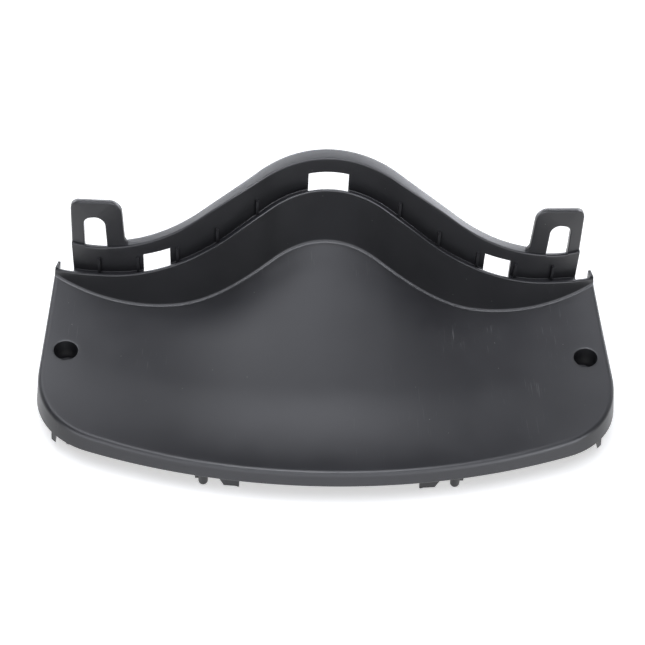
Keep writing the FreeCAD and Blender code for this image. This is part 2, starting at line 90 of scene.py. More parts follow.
def upperZ(x):                  # top of the upper wall and its flange
    return bell(form["upperHeight"], form["upperRise"], form["ridgeHalf"], form["upperShare"])(x)


def flangeY(x):
    return bell(form["flangeDepth"], form["flangeBay"], form["shoulderHalf"], form["flangeShare"])(x)


def frontAt(x, z):              # front edge of the skirts at a height
    return (z - form["rimFoot"]) * lean + form["frontRadius"] - math.sqrt(form["frontRadius"] ** 2 - x ** 2)


def panelZ(x, y):               # upper face of the panel: flat at the rim, humped at the wall
    rim = form["rimFoot"] + form["rimHeight"]
    edge = rim + form["cornerLift"] * (x / form["frontHalf"]) ** 4
    reach = abs(x)
    if reach < form["humpHalf"]:
        atWall = form["valley"] + form["humpRise"] * (1 + math.cos(math.pi * reach / form["humpHalf"])) / 2
    else:
        out = (reach - form["humpHalf"]) / (form["frontHalf"] - form["humpHalf"])
        atWall = form["valley"] + form["cornerRise"] * out ** form["cornerBend"]
    front = frontAt(x, rim)
    share = (y - front) / (wallY(x) - front)
    # slight dish behind the rim, deepest in the middle
    near = min(1, max(0, (y - front) / form["dishLength"]))
    fade = max(form["dishLeast"], 1 - (1 - form["dishLeast"]) * (x / form["dishHalf"]) ** 2)
    dish = fade * form["dishSlope"] * form["dishLength"] * near * (1 - near) ** 2
    return edge + (atWall - edge) * (form["ease"] * share + (1 - form["ease"]) * share ** 2) - dish


def place(x, y, z):
    return Vector((x, y + frontY, z)) * mm


def skin(bm, rows):             # quads between rows of vertices
    return [bm.faces.new((a[i], a[i + 1], b[i + 1], b[i]))
            for a, b in zip(rows, rows[1:]) for i in range(len(a) - 1)]


def closedSkin(bm, rings):      # the same for closed rings
    return skin(bm, [ring + ring[:1] for ring in rings])


def circle(bm, x, y, radius, height, count=40):
    # ring of vertices round an upright axis; height is a number or a rule of x and y
    ring = []
    for i in range(count):
        turn = 2 * math.pi * i / count
        px, py = x + radius * math.cos(turn), y + radius * math.sin(turn)
        ring.append(bm.verts.new(place(px, py, height(px, py) if callable(height) else height)))
    return ring


def bow(a, corner, b, steps):   # points of a round from a to b, drawn towards the sharp corner
    out = []
    for i in range(steps + 1):
        t = i / steps
        out.append(tuple((1 - t) ** 2 * p + 2 * t * (1 - t) * c + t ** 2 * q for p, c, q in zip(a, corner, b)))
    return out


def spread(low, high, step, *stops):
    # even stations from low to high that also fall on every stop between them
    marks = sorted({low, high, *[s for s in stops if low < s < high]})
    out = [marks[0]]
    for a, b in zip(marks, marks[1:]):
        count = max(1, round((b - a) / step))
        out += [a + (b - a) * (i + 1) / count for i in range(count)]
    return out


meshSet = {"merge": 1e-6, "sharp": 38}      # metres and degrees


def asObject(bm, name):
    bmesh.ops.remove_doubles(bm, verts=bm.verts, dist=meshSet["merge"])
    bmesh.ops.recalc_face_normals(bm, faces=bm.faces)
    mesh = bpy.data.meshes.new(name)
    bm.to_mesh(mesh)
    bm.free()
    mesh.shade_smooth()
    mesh.set_sharp_from_angle(angle=math.radians(meshSet["sharp"]))
    piece = bpy.data.objects.new(name, mesh)
    bpy.context.scene.collection.objects.link(piece)
    return piece


# Panel with its rim, side skirts and screw seats
panelSet = {
    "frontSteps": 40, "cornerSteps": 16, "sideSteps": 44,       # half of the outline
    "rimRound": 2.4, "rimSteps": 6, "footRound": 0.5,
    "riseStart": 62, "footStart": 118.3,                        # lower edge of the skirts
    "screwX": 146.85, "screwY": 86.9, "seatRadius": 6.5, "seatDepth": 12, "holeRadius": 3, "bossRadius": 8.5,
    "mouth": ((0.8, 0), (0.25, 0.12), (0, 0.6)), "bossRoot": ((0, 0.8), (0.8, 0)),      # rounds, as out and down
    "seatTaper": 0.1, "seatEdge": 0.5, "holeEdge": 0.3, "seatMargin": 2.6,
}


def rimPoint(k, z, inset=0.0):
    # outline of the skirts at a height; k counts from the middle of the front, negative to the left
    fronts, corners, sides = panelSet["frontSteps"], panelSet["cornerSteps"], panelSet["sideSteps"]
    step, side = abs(k), -1 if k < 0 else 1
    radius, corner = form["frontRadius"], form["cornerRadius"]
    centreY = radius + (z - form["rimFoot"]) * lean
    cornerX = form["frontHalf"] - z * draft - corner
    turn = math.asin(cornerX / (radius - corner))
    cornerY = centreY - (radius - corner) * math.cos(turn)
    if step <= fronts:
        a = turn * step / fronts
        return side * (radius - inset) * math.sin(a), centreY - (radius - inset) * math.cos(a)
    toRear = Vector((form["rearHalf"] - inset - z * draft - cornerX, form["sideEnd"] - cornerY))
    bend = corner - inset
    endTurn = math.pi - math.atan2(toRear.x, toRear.y) - math.acos(bend / toRear.length)
    a = turn + (endTurn - turn) * min(1, (step - fronts) / corners)
    x, y = cornerX + bend * math.sin(a), cornerY - bend * math.cos(a)
    if step > fronts + corners:
        share = (step - fronts - corners) / sides
        wallEnd = wallY(form["rearHalf"] - form["ridgeHeight"] * draft, form["lip"] / 2)
        along = share * (wallEnd - y)
        x += (cornerX + toRear.x - x) * along / (form["sideEnd"] - y)
        y += along
    return side * x, y


def footZ(y):                   # lower edge of the rim and skirts
    start, end = panelSet["riseStart"], panelSet["footStart"]
    return form["rimFoot"] * min(1, max(0, (end - y) / (end - start)))


def rimEdge(k, inset, sink):    # where the skirt meets the panel, or the panel's underside
    z = form["rimFoot"] + form["rimHeight"]
    for _ in range(12):         # the outline and the height settle together
        x, y = rimPoint(k, z, inset)
        z = panelZ(x, y) - sink
    return x, y, z


def rimSection(k):
    # from the panel's underside round the rim to its upper face
    wall, soft, foot = form["wall"], panelSet["rimRound"], panelSet["footRound"]
    edge = rimEdge(k, 0, 0)

    def onSkirt(inset, lift):
        low = footZ(rimPoint(k, form["rimFoot"], inset)[1])
        return (*rimPoint(k, low + lift, inset), low + lift)
    upper = (*rimPoint(k, edge[2] - soft), edge[2] - soft)
    inner = rimPoint(k, edge[2], soft)
    panelSide = (*inner, panelZ(*inner))
    section = [rimEdge(k, wall, wall), onSkirt(wall, foot), onSkirt(wall - foot, 0), onSkirt(foot, 0)]
    section += [onSkirt(0, foot)] + bow(upper, edge, panelSide, panelSet["rimSteps"])
    return section


def coons(front, rear, left, right):
    # fills a four-sided outline in plan: rows from the front to the rear
    def mix(p, q, t):
        return Vector(p[:2]).lerp(Vector(q[:2]), t)
    columns, rows = len(front) - 1, len(left) - 1
    grid = []
    for j in range(rows + 1):
        v, row = j / rows, []
        for i in range(columns + 1):
            u = (rear[i][0] - rear[0][0]) / (rear[-1][0] - rear[0][0])
            flat = mix(mix(front[0], front[-1], u), mix(rear[0], rear[-1], u), v)
            row.append(mix(front[i], rear[i], v) + mix(left[j], right[j], u) - flat)
        grid.append(row)
    return grid


def seatOpening(bm, faces, x, y, radius, ring):
    # clears the skin round a screw and joins it to the seat's ring
    def plan(face):
        middle = face.calc_center_median() / mm
        return math.hypot(middle.x - x, middle.y - frontY - y)
    inside = dict.fromkeys(face for face in faces if plan(face) < radius)
    rim = [e for face in inside for e in face.edges if sum(f in inside for f in e.link_faces) == 1]
    bmesh.ops.delete(bm, geom=list(inside), context="FACES")
    ringEdges = [bm.edges.get((a, b)) for a, b in zip(ring, ring[1:] + ring[:1])]
    bmesh.ops.bridge_loops(bm, edges=rim + ringEdges)
    return [face for face in faces if face not in inside]


def screwSeat(bm, x, y, upper, under):
    # sunk seat: rounded mouth, recess, floor with a hole, and the boss round it below
    mouth, hole, boss = panelSet["seatRadius"], panelSet["holeRadius"], panelSet["bossRadius"]
    wall, edge, soft = form["wall"], panelSet["seatEdge"], panelSet["holeEdge"]
    floor = panelZ(x, y) - panelSet["seatDepth"]
    foot = floor - wall
    rings = [circle(bm, x, y, mouth + out, lambda px, py, d=drop: panelZ(px, py) - d)
             for out, drop in panelSet["mouth"]]
    for radius, z in ((mouth - panelSet["seatTaper"], floor + edge), (mouth - edge, floor), (hole + soft, floor),
                      (hole, floor - soft), (hole, foot), (boss - edge, foot), (boss, foot + edge)):
        rings.append(circle(bm, x, y, radius, z))
    rings += [circle(bm, x, y, boss + out, lambda px, py, d=drop: panelZ(px, py) - wall - d)
              for out, drop in panelSet["bossRoot"]]
    closedSkin(bm, rings)
    upper = seatOpening(bm, upper, x, y, mouth + panelSet["seatMargin"], rings[0])
    under = seatOpening(bm, under, x, y, boss + panelSet["seatMargin"], rings[-1])
    return upper, under


def makePanel():
    bm = bmesh.new()
    last = panelSet["frontSteps"] + panelSet["cornerSteps"] + panelSet["sideSteps"]
    turned = panelSet["frontSteps"] + panelSet["cornerSteps"]
    sections = [rimSection(k) for k in range(-last, last + 1)]
    rings = [[bm.verts.new(place(*section[i])) for section in sections] for i in range(len(sections[0]))]
    skin(bm, rings)
    layers = []
    for ring, sink in ((rings[-1], 0), (rings[0], form["wall"])):
        border = [(v.co / mm) - Vector((0, frontY, 0)) for v in ring]
        left, right = border[last - turned::-1], border[last + turned:]
        front = border[last - turned:last + turned + 1]
        reach = right[-1].x / front[-1].x
        rear = [Vector((p.x * reach, wallY(p.x * reach, form["lip"] / 2))) for p in front]
        rear[0], rear[-1] = left[-1].xy, right[-1].xy
        rows = []
        for j, row in enumerate(coons(front, rear, left, right)):
            verts = [bm.verts.new(place(p.x, p.y, panelZ(p.x, p.y) - sink)) for p in row[1:-1]]
            if j == 0:
                verts = ring[last - turned + 1:last + turned]
            rows.append([ring[last - turned - j], *verts, ring[last + turned + j]])
        layers.append((skin(bm, rows), rows[-1]))
    (upper, upperRear), (under, underRear) = layers
    skin(bm, [upperRear, underRear])
    for end in (0, -1):
        bm.faces.new([ring[end] for ring in rings])
    for side in (-1, 1):
        upper, under = screwSeat(bm, side * panelSet["screwX"], panelSet["screwY"], upper, under)
    return asObject(bm, "panel")


# Wall behind the panel: a lower wall with a rounded ridge, a ledge, an upper wall and its flange
wallSet = {
    "step": 2.4, "baseRound": 1.5, "ridgeRound": 0.8, "cornerRound": 0.45, "flangeRound": 1.0, "reach": 157.2,
    "windowHalf": 11.7, "sideWindowLow": 90.35, "sideWindowHigh": 105.65, "windowHeight": 11, "windowEdge": 2.8,
    "slotSink": 0.6, "slotLedge": 0.3, "change": 0.2,       # flange at the slots, and how fast it gets there
    "toeOut": 0.4, "toeSink": 1.2, "footEdge": 0.5, "faceSink": 0.4, "skinGap": 0.02,       # foot inside the panel
    "rearEdge": 0.5, "ledgeEdge": 0.6, "insetShare": 0.4, "baseSteps": 5, "roundSteps": 3, "edgeSteps": 2,
}


def lowerSection(x):
    # foot flared into the panel, front face, rounded ridge and back face
    lip, soft, base, steps = form["lip"], wallSet["ridgeRound"], wallSet["baseRound"], wallSet["roundSteps"]
    top, foot = ridgeZ(x), panelZ(x, wallY(x))
    gap, edge = wallSet["skinGap"], wallSet["footEdge"]
    ahead = panelZ(x, wallY(x, -base)) - gap
    under = panelZ(x, wallY(x, lip)) - form["wall"]
    section = [(-base - wallSet["toeOut"], ahead - wallSet["toeSink"])]
    section += bow((-base, ahead), (0, foot), (0, foot + base), wallSet["baseSteps"])
    middle = foot + base + (top - soft - foot - base) / 2
    section += [(0, middle)] + bow((0, top - soft), (0, top), (soft, top), steps)
    section += bow((lip - soft, top), (lip, top), (lip, top - soft), steps)
    section += [(lip, middle), (lip, under + edge), (lip - edge, under - gap), (0, under + wallSet["faceSink"])]
    return [(wallY(x, d), z) for d, z in section]


def flangeRear(x):
    # rear edge of the flange, with a pad under each leg of the tabs
    reach, back = abs(x), wallY(x, form["upperFace"] + form["wall"])
    if reach < form["tabInner"]:
        return flangeY(x)
    if form["slotLow"] < reach < form["slotHigh"]:
        return back + wallSet["slotLedge"]
    return wallY(x, form["tabBack"])


def upperSection(x):
    # ledge, upper wall and flange, from the ridge over the flange and back under the ledge
    wall, soft, crown = form["wall"], wallSet["cornerRound"], wallSet["flangeRound"]
    face, back, edge = form["upperFace"], form["upperFace"] + form["wall"], wallSet["windowEdge"]
    ledge, top = ridgeZ(x) - form["ledgeDrop"], upperZ(x)
    low, head = ledge - wall, ledge + wallSet["windowHeight"]
    steps, lower = wallSet["roundSteps"], wallSet["ledgeEdge"]
    if form["slotLow"] < abs(x) < form["slotHigh"]:
        top -= wallSet["slotSink"]
    under, rear, turn = top - wall, flangeRear(x), wallY(x, back)
    inset = min(soft, wallSet["insetShare"] * (rear - turn))

    def along(points):
        return [(wallY(x, d), z) for d, z in points]
    section = along([(form["lip"] / 2, ledge), (edge, ledge)])
    section += along(bow((face - soft, ledge), (face, ledge), (face, ledge + soft), steps))
    section += along([(face, head), (face, (head + top) / 2)])
    section += along(bow((face, top - crown), (face, top), (face + crown, top), steps))
    section.append(((wallY(x, face + crown) + rear - crown) / 2, top))
    section += bow((rear - min(crown, rear - turn), top), (rear, top), (rear, top - crown), steps)
    section += bow((rear, under + wallSet["rearEdge"]), (rear, under), (rear - inset / 2, under), wallSet["edgeSteps"])
    section += bow((turn + inset, under), (turn, under), (turn, under - inset), steps)
    section += along([(back, head), (back, low + lower), (back - lower, low), (edge, low), (form["lip"] / 2, low)])
    return section


# points of that section between which a window opens: on the front, and on the back counted from the end
windowFirst, windowLast = 1, wallSet["roundSteps"] + 3
windowBackFirst, windowBackLast = -5, -2


def sweep(bm, stations, sectionAt, windows=()):
    sections = [[bm.verts.new(place(x, y, z)) for y, z in sectionAt(x)] for x in stations]
    count = len(sections[0])
    gone = set(range(windowFirst, windowLast)) | set(range(count + windowBackFirst, count + windowBackLast))
    bridges = ((windowLast, count + windowBackFirst), (count + windowBackLast, windowFirst))
    jamb = [*range(windowFirst, windowLast + 1), *range(count + windowBackFirst, count + windowBackLast + 1)]

    def inWindow(i):
        middle = (stations[i] + stations[i + 1]) / 2
        return any(low < middle < high for low, high in windows)
    opened = [inWindow(i) for i in range(len(stations) - 1)]
    for i, (a, b) in enumerate(zip(sections, sections[1:])):
        for j in range(count):
            if not (opened[i] and j in gone):
                n = (j + 1) % count
                bm.faces.new((a[j], a[n], b[n], b[j]))
        if opened[i]:
            for p, q in bridges:
                bm.faces.new((a[p], a[q], b[q], b[p]))
    for i in range(1, len(opened)):
        if opened[i] != opened[i - 1]:
            bm.faces.new([sections[i][j] for j in jamb])
    for end in (0, -1):
        bm.faces.new(sections[end])


def makeWall():
    bm = bmesh.new()
    reach, half = wallSet["reach"], form["upperHalf"]
    sweep(bm, spread(-reach, reach, wallSet["step"]), lowerSection)
    sides = (wallSet["sideWindowLow"], wallSet["sideWindowHigh"])
    inner, low, high = [form[key] for key in ("tabInner", "slotLow", "slotHigh")]
    change = wallSet["change"]
    stops = [wallSet["windowHalf"], *sides, inner - change, inner, low, low + change, high - change, high]
    stations = spread(-half, half, wallSet["step"], *stops, *[-s for s in stops])
    windows = [(-wallSet["windowHalf"], wallSet["windowHalf"]), sides, (-sides[1], -sides[0])]
    sweep(bm, stations, upperSection, windows)
    return asObject(bm, "wall")


# Upright tabs that follow the wall on the ends of the flange, each with an arched slot that runs down to it
tabSet = {
    "outer": 147.05, "taper": 1.1, "height": 29.8, "drop": 1.2, "corner": 6.5, "edge": 1.0, "foot": -1.2,
    "gusset": 2.4, "gussetTop": 3.4, "edgeShare": 0.3, "cornerSteps": 9, "legSteps": 5,
    "slotTaper": 0.45, "slotHeight": 20.5, "slotDrop": 2.2, "slotCorner": 6, "slotEdge": 0.4,
}


def roundCorner(before, corner, after, radius, steps):
    # arc between two sides, no longer than the sides allow
    toBefore, toAfter = before - corner, after - corner
    half = toBefore.angle(toAfter) / 2
    cut = min(radius / math.tan(half), 0.49 * min(toBefore.length, toAfter.length))
    radius = cut * math.tan(half)
    toBefore, toAfter = toBefore.normalized(), toAfter.normalized()
    centre = corner + (toBefore + toAfter).normalized() * (radius / math.sin(half))
    start, end = corner + toBefore * cut - centre, corner + toAfter * cut - centre
    turn = math.atan2(start.x * end.y - start.y * end.x, start.dot(end))
    return [centre + Matrix.Rotation(turn * i / steps, 2) @ start for i in range(steps + 1)]


def arch(inner, outer, taper, height, drop, corner, cut, gusset=0):
    # open outline from the inner foot over the top to the outer foot, as (x, z); cut draws it in
    spots = [(inner + cut, tabSet["foot"]), (inner + taper + cut, height - cut),
             (outer - taper - cut, height - drop - cut), (outer - cut, tabSet["foot"])]
    foot, first, second, lastFoot = [Vector((x, upperZ(x) + lift)) for x, lift in spots]
    over = roundCorner(foot, first, second, corner - cut, tabSet["cornerSteps"])
    over += roundCorner(first, second, lastFoot, corner - cut, tabSet["cornerSteps"])
    share, steps = (tabSet["gussetTop"] - tabSet["foot"]) / (over[0].y - foot.y), tabSet["legSteps"]
    rise = [0] + [share + (1 - share) * i / steps for i in range(steps)]
    up, down = [foot.lerp(over[0], t) for t in rise], [lastFoot.lerp(over[-1], t) for t in reversed(rise)]
    up[0].x -= gusset
    return up + over + down


def makeTabs():
    bm = bmesh.new()
    near, far, edge, soft = form["tabFace"], form["tabBack"], tabSet["edge"], tabSet["slotEdge"]

    def outer(cut):
        return arch(form["tabInner"], tabSet["outer"], tabSet["taper"], tabSet["height"], tabSet["drop"],
                    tabSet["corner"], cut, tabSet["gusset"])

    def inner(cut):
        return arch(form["slotLow"], form["slotHigh"], tabSet["slotTaper"], tabSet["slotHeight"],
                    tabSet["slotDrop"], tabSet["slotCorner"], -cut)
    third = edge * tabSet["edgeShare"]
    loops = [(inner(0), far - soft), (inner(0), near + soft), (inner(soft), near),
             (outer(edge), near), (outer(third), near + third), (outer(0), near + edge),
             (outer(0), far - edge), (outer(third), far - third), (outer(edge), far), (inner(soft), far)]
    for side in (-1, 1):
        rows = [[bm.verts.new(place(side * x, wallY(x, depth), z)) for x, z in points] for points, depth in loops]
        skin(bm, rows + rows[:1])
        for end in (0, -1):
            bm.faces.new([row[end] for row in rows])
    return asObject(bm, "tabs")


# Rear fins of the side skirts, which run on past the wall and turn in at their ends
finSet = {
    "start": 137.6, "behind": 1.6, "end": 148.3, "front": 45.0, "tipDepth": 143.6, "top": 46.8, "round": 1.2,
    "turnIn": 2.0, "tip": 1.0, "edge": 0.4, "bendFrom": 15, "bendSpan": 25, "skinGap": 0.02, "roundSteps": 8,
    "frontStops": (0.05, 12, 24, 35), "clear": 38, "rearStops": (30, 15, 0.05),     # heights along the two edges
}


def sideX(y, z, inset):
    # side of the skirts behind the corner, at any depth
    last = panelSet["frontSteps"] + panelSet["cornerSteps"]
    x, startY = rimPoint(last, z, inset)
    rearX = form["rearHalf"] - inset - z * draft
    return x + (rearX - x) * (y - startY) / (form["sideEnd"] - startY)


def makeFins():
    bm = bmesh.new()
    start, end, tip, top, bend = [finSet[key] for key in ("start", "end", "tipDepth", "top", "round")]
    ahead = start + finSet["behind"]        # over the panel the fin stands behind the wall's face
    outline = [(start, z) for z in finSet["frontStops"]] + [(ahead, finSet["clear"]), (ahead, finSet["front"])]
    for i in range(finSet["roundSteps"] + 1):
        a = math.pi / 2 * (1 - i / finSet["roundSteps"])
        outline.append((tip - bend + bend * math.cos(a), top - bend + bend * math.sin(a)))
    outline += [(end, z) for z in finSet["rearStops"]]

    def skirtX(y, z, thick):
        # at the top the plate turns in and thins towards its end
        past = min(1, max(0, y - start) / (tip - start))
        past *= min(1, max(0, z - finSet["bendFrom"]) / finSet["bendSpan"])
        inset = finSet["skinGap"] + thick * (form["wall"] + (finSet["tip"] - form["wall"]) * past)
        return sideX(y, z, inset) - finSet["turnIn"] * past ** 2
    for side in (-1, 1):
        faces = [[bm.verts.new(place(side * skirtX(y, z, thick), y, z)) for y, z in outline] for thick in (0, 1)]
        made = [bm.faces.new(loop) for loop in faces] + closedSkin(bm, faces)
        edges = dict.fromkeys(e for face in made[:2] for e in face.edges)
        bmesh.ops.bevel(bm, geom=list(edges), offset=finSet["edge"] * mm, segments=2, affect="EDGES", profile=0.5)
        bmesh.ops.triangulate(bm, faces=[face for face in bm.faces if len(face.verts) > 4])
    return asObject(bm, "fins")


# Pegs, small ribs and clip tongues behind the front rim
clipSet = {
    "setBack": 7, "pegX": 67.7, "pegRadius": 2.6, "pegSides": 24, "domeSteps": 6,
    "webReach": 4.4, "webThick": 1.8, "webFoot": 4.7,
    "cornerPegX": 141.25, "cornerPegRadius": 2, "cornerPegFoot": 5.3,
    "cornerRibX": 149.5, "cornerRibThick": 2.6, "cornerRibLength": 7, "cornerRibFoot": 7.5, "ribInset": 0.6,
    "tongueX": 53.7, "tongueHalf": 5.35, "tongueThick": 2.2, "tongueFoot": 2, "tongueHead": 6,
    "taper": 2.4, "taperTop": 7, "nib": 1.1, "edge": 0.3,
}


def cornerFront(x, z=form["rimFoot"]):      # rim on the front corner arc, at its foot or another height
    corner, radius = form["cornerRadius"], form["frontRadius"]
    cornerX = form["frontHalf"] - z * draft - corner
    turn = math.asin(cornerX / (radius - corner))
    level = radius + (z - form["rimFoot"]) * lean - (radius - corner) * math.cos(turn)
    return level - math.sqrt(corner ** 2 - (abs(x) - cornerX) ** 2)


def peg(bm, x, y, radius, foot):
    # domed foot and a shank that ends inside the panel
    rings, steps, sides = [], clipSet["domeSteps"], clipSet["pegSides"]
    for i in range(1, steps + 1):
        a = math.pi / 2 * i / steps
        rings.append(circle(bm, x, y, radius * math.sin(a), foot + radius - radius * math.cos(a), sides))
    rings.append(circle(bm, x, y, radius, lambda px, py: panelZ(px, py) - form["wall"] / 2, sides))
    closedSkin(bm, rings)
    for ring in (rings[0], rings[-1]):
        bm.faces.new(ring)


def hungPlate(bm, outline, y, thick):
    # plate with a soft edge, from its outline in front view
    loops = [[bm.verts.new(place(x, depth, z)) for x, z in outline] for depth in (y - thick / 2, y + thick / 2)]
    made = [bm.faces.new(loop) for loop in loops] + closedSkin(bm, loops)
    edges = dict.fromkeys(e for face in made for e in face.edges)       # each once
    bmesh.ops.bevel(bm, geom=list(edges), offset=clipSet["edge"] * mm, segments=2, affect="EDGES", profile=0.5)


def hungRib(bm, x, y, width, length, foot):
    head = panelZ(x, y) - form["wall"] / 2
    outline = [(x - width / 2, foot), (x + width / 2, foot), (x + width / 2, head), (x - width / 2, head)]
    hungPlate(bm, outline, y, length)


def cornerRib(bm, side):
    # small rib at the front corner: its front edge leans back with the rim that it stands behind
    x, thick, foot = clipSet["cornerRibX"], clipSet["cornerRibThick"], clipSet["cornerRibFoot"]
    rear = cornerFront(x) + form["wall"] / 2 + clipSet["cornerRibLength"]
    head = panelZ(x, rear) - form["wall"] / 2
    inset, loops = form["wall"] * clipSet["ribInset"], []
    for px in (x - thick / 2, x + thick / 2):
        low, high = cornerFront(px, foot) + inset, cornerFront(px, head) + inset
        corners = (low, foot), (rear, foot), (rear, head), (high, head)
        loops.append([bm.verts.new(place(side * px, *spot)) for spot in corners])
    for loop in loops:
        bm.faces.new(loop)
    closedSkin(bm, loops)


def makeClips():
    bm = bmesh.new()
    rim, back, web = form["rimFoot"], clipSet["setBack"], clipSet["webReach"]
    middle, half, nib = clipSet["tongueX"], clipSet["tongueHalf"], clipSet["nib"]
    inner, outer, low, head = middle - half, middle + half, clipSet["tongueFoot"], rim + clipSet["tongueHead"]
    tongue = [(outer, head), (outer, clipSet["taperTop"]), (outer - clipSet["taper"], low),
              (inner + 2 * nib, low), (inner + nib, low - nib), (inner, low - nib), (inner, head)]
    for side in (-1, 1):
        x = side * clipSet["pegX"]
        y = frontAt(x, rim) + back
        peg(bm, x, y, clipSet["pegRadius"], 0)
        hungRib(bm, x + side * web / 2, y, web, clipSet["webThick"], clipSet["webFoot"])
        x = side * clipSet["cornerPegX"]
        peg(bm, x, cornerFront(x) + back, clipSet["cornerPegRadius"], clipSet["cornerPegFoot"])
        cornerRib(bm, side)
        outline = [(side * px, z) for px, z in tongue]
        hungPlate(bm, outline, frontAt(middle, rim) + back, clipSet["tongueThick"])
    return asObject(bm, "clips")


# Gusset ribs in the groove, spaced along the upper wall
ribSet = {"count": 5, "first": 41, "pitch": 22.6, "thickness": 1.5, "height": 10, "depth": 2, "sink": 1.2}


class Rule:
    # small helper that lays out nodes in a tree
    def __init__(self, tree):
        self.tree = tree

    def node(self, kind, **settings):
        made = self.tree.nodes.new(kind)
        for key, value in settings.items():
            setattr(made, key, value)
        return made

    def math(self, operation, a, b=0.0):
        made = self.node("ShaderNodeMath", operation=operation)
        for socket, value in zip(made.inputs, (a, b)):
            if isinstance(value, (int, float)):
                socket.default_value = value
            else:
                self.tree.links.new(value, socket)
        return made.outputs[0]

    def link(self, source, target):
        self.tree.links.new(source, target)

    def span(self, value, low, high, start=0.0, end=1.0, curve="LINEAR"):
        # maps one range of values to another
        made = self.node("ShaderNodeMapRange", interpolation_type=curve)
        for name, number in (("From Min", low), ("From Max", high), ("To Min", start), ("To Max", end)):
            made.inputs[name].default_value = number
        self.link(value, made.inputs["Value"])
        return made.outputs["Result"]

    def bell(self, x, base, rise, halfSpan, share, offset):
        # the same three arcs as above, as nodes
        total = (halfSpan ** 2 + rise ** 2) / (2 * rise)
        crown, foot = share * total + offset, (1 - share) * total - offset
        reach = self.math("ABSOLUTE", x)
        square = self.math("MULTIPLY", reach, reach)
        high = self.math("SQRT", self.math("MAXIMUM", self.math("SUBTRACT", crown ** 2, square), 0))
        out = self.math("SUBTRACT", reach, halfSpan)
        low = self.math("SQRT", self.math("SUBTRACT", foot ** 2, self.math("MULTIPLY", out, out)))
        onCrown = self.math("ADD", high, base + rise - share * total)
        onFoot = self.math("SUBTRACT", base + (1 - share) * total, low)
        inside = self.math("LESS_THAN", reach, halfSpan * crown / total)
        outside = self.math("SUBTRACT", 1, inside)
        return self.math("ADD", self.math("MULTIPLY", inside, onCrown), self.math("MULTIPLY", outside, onFoot))


def ribTree(material):
    tree = bpy.data.node_groups.new("gussetRibs", "GeometryNodeTree")
    rule = Rule(tree)
    for name in ribSet:
        kind = "NodeSocketInt" if name == "count" else "NodeSocketFloat"
        tree.interface.new_socket(name, in_out="INPUT", socket_type=kind)
    tree.interface.new_socket("Geometry", in_out="OUTPUT", socket_type="NodeSocketGeometry")
    sizes = rule.node("NodeGroupInput").outputs
    # one point for each rib, left and right: the index gives the side and the place
    points = rule.node("GeometryNodePoints")
    rule.link(rule.math("MULTIPLY", sizes["count"], 2), points.inputs["Count"])
    index = rule.node("GeometryNodeInputIndex").outputs[0]
    side = rule.math("SUBTRACT", rule.math("MULTIPLY", rule.math("MODULO", index, 2), 2), 1)
    step = rule.math("FLOOR", rule.math("DIVIDE", index, 2))
    x = rule.math("MULTIPLY", side, rule.math("ADD", sizes["first"], rule.math("MULTIPLY", step, sizes["pitch"])))
    # along the upper wall's face in plan, and along the ledge in height
    y = rule.bell(x, form["shoulderDepth"] + frontY, form["bayDepth"], form["shoulderHalf"], form["bayShare"],
                  form["upperFace"])
    z = rule.bell(x, form["ridgeHeight"] - form["ledgeDrop"], form["ridgeRise"], form["ridgeHalf"],
                  form["ridgeShare"], 0)
    spot = rule.node("ShaderNodeCombineXYZ")
    for socket, value in zip(spot.inputs, (x, y, z)):
        rule.link(rule.math("MULTIPLY", value, mm), socket)
    rule.link(spot.outputs[0], points.inputs["Position"])
    # a rib is a block that is sunk into the wall and the ledge, and ends inside them
    block = rule.node("GeometryNodeMeshCube")
    size = rule.node("ShaderNodeCombineXYZ")
    twice, tall = rule.math("MULTIPLY", sizes["depth"], 2), rule.math("ADD", sizes["height"], sizes["sink"])
    for socket, value in zip(size.inputs, (sizes["thickness"], twice, tall)):
        rule.link(rule.math("MULTIPLY", value, mm), socket)
    rule.link(size.outputs[0], block.inputs["Size"])
    lift = rule.node("ShaderNodeCombineXYZ")
    rule.link(rule.math("MULTIPLY", rule.math("SUBTRACT", sizes["height"], sizes["sink"]), mm / 2), lift.inputs["Z"])
    raised = rule.node("GeometryNodeTransform")
    rule.link(block.outputs["Mesh"], raised.inputs["Geometry"])
    rule.link(lift.outputs[0], raised.inputs["Translation"])
    onPoints = rule.node("GeometryNodeInstanceOnPoints")
    rule.link(points.outputs[0], onPoints.inputs["Points"])
    rule.link(raised.outputs[0], onPoints.inputs["Instance"])
    real = rule.node("GeometryNodeRealizeInstances")
    rule.link(onPoints.outputs[0], real.inputs[0])
    paint = rule.node("GeometryNodeSetMaterial")
    paint.inputs["Material"].default_value = material
    rule.link(real.outputs[0], paint.inputs["Geometry"])
    result = rule.node("NodeGroupOutput")
    rule.link(paint.outputs[0], result.inputs["Geometry"])
    return tree


def makeRibs(material):
    tree = ribTree(material)
    holder = bpy.data.objects.new("ribs", bpy.data.meshes.new("ribHolder"))
    bpy.context.scene.collection.objects.link(holder)
    modifier = holder.modifiers.new("gussetRibs", "NODES")
    modifier.node_group = tree
    for item in tree.interface.items_tree:
        if item.in_out == "INPUT":
            modifier[item.identifier] = ribSet[item.name]
    graph = bpy.context.evaluated_depsgraph_get()
    mesh = bpy.data.meshes.new_from_object(holder.evaluated_get(graph), depsgraph=graph)
    holder.modifiers.remove(modifier)
    holder.data = mesh
    return holder


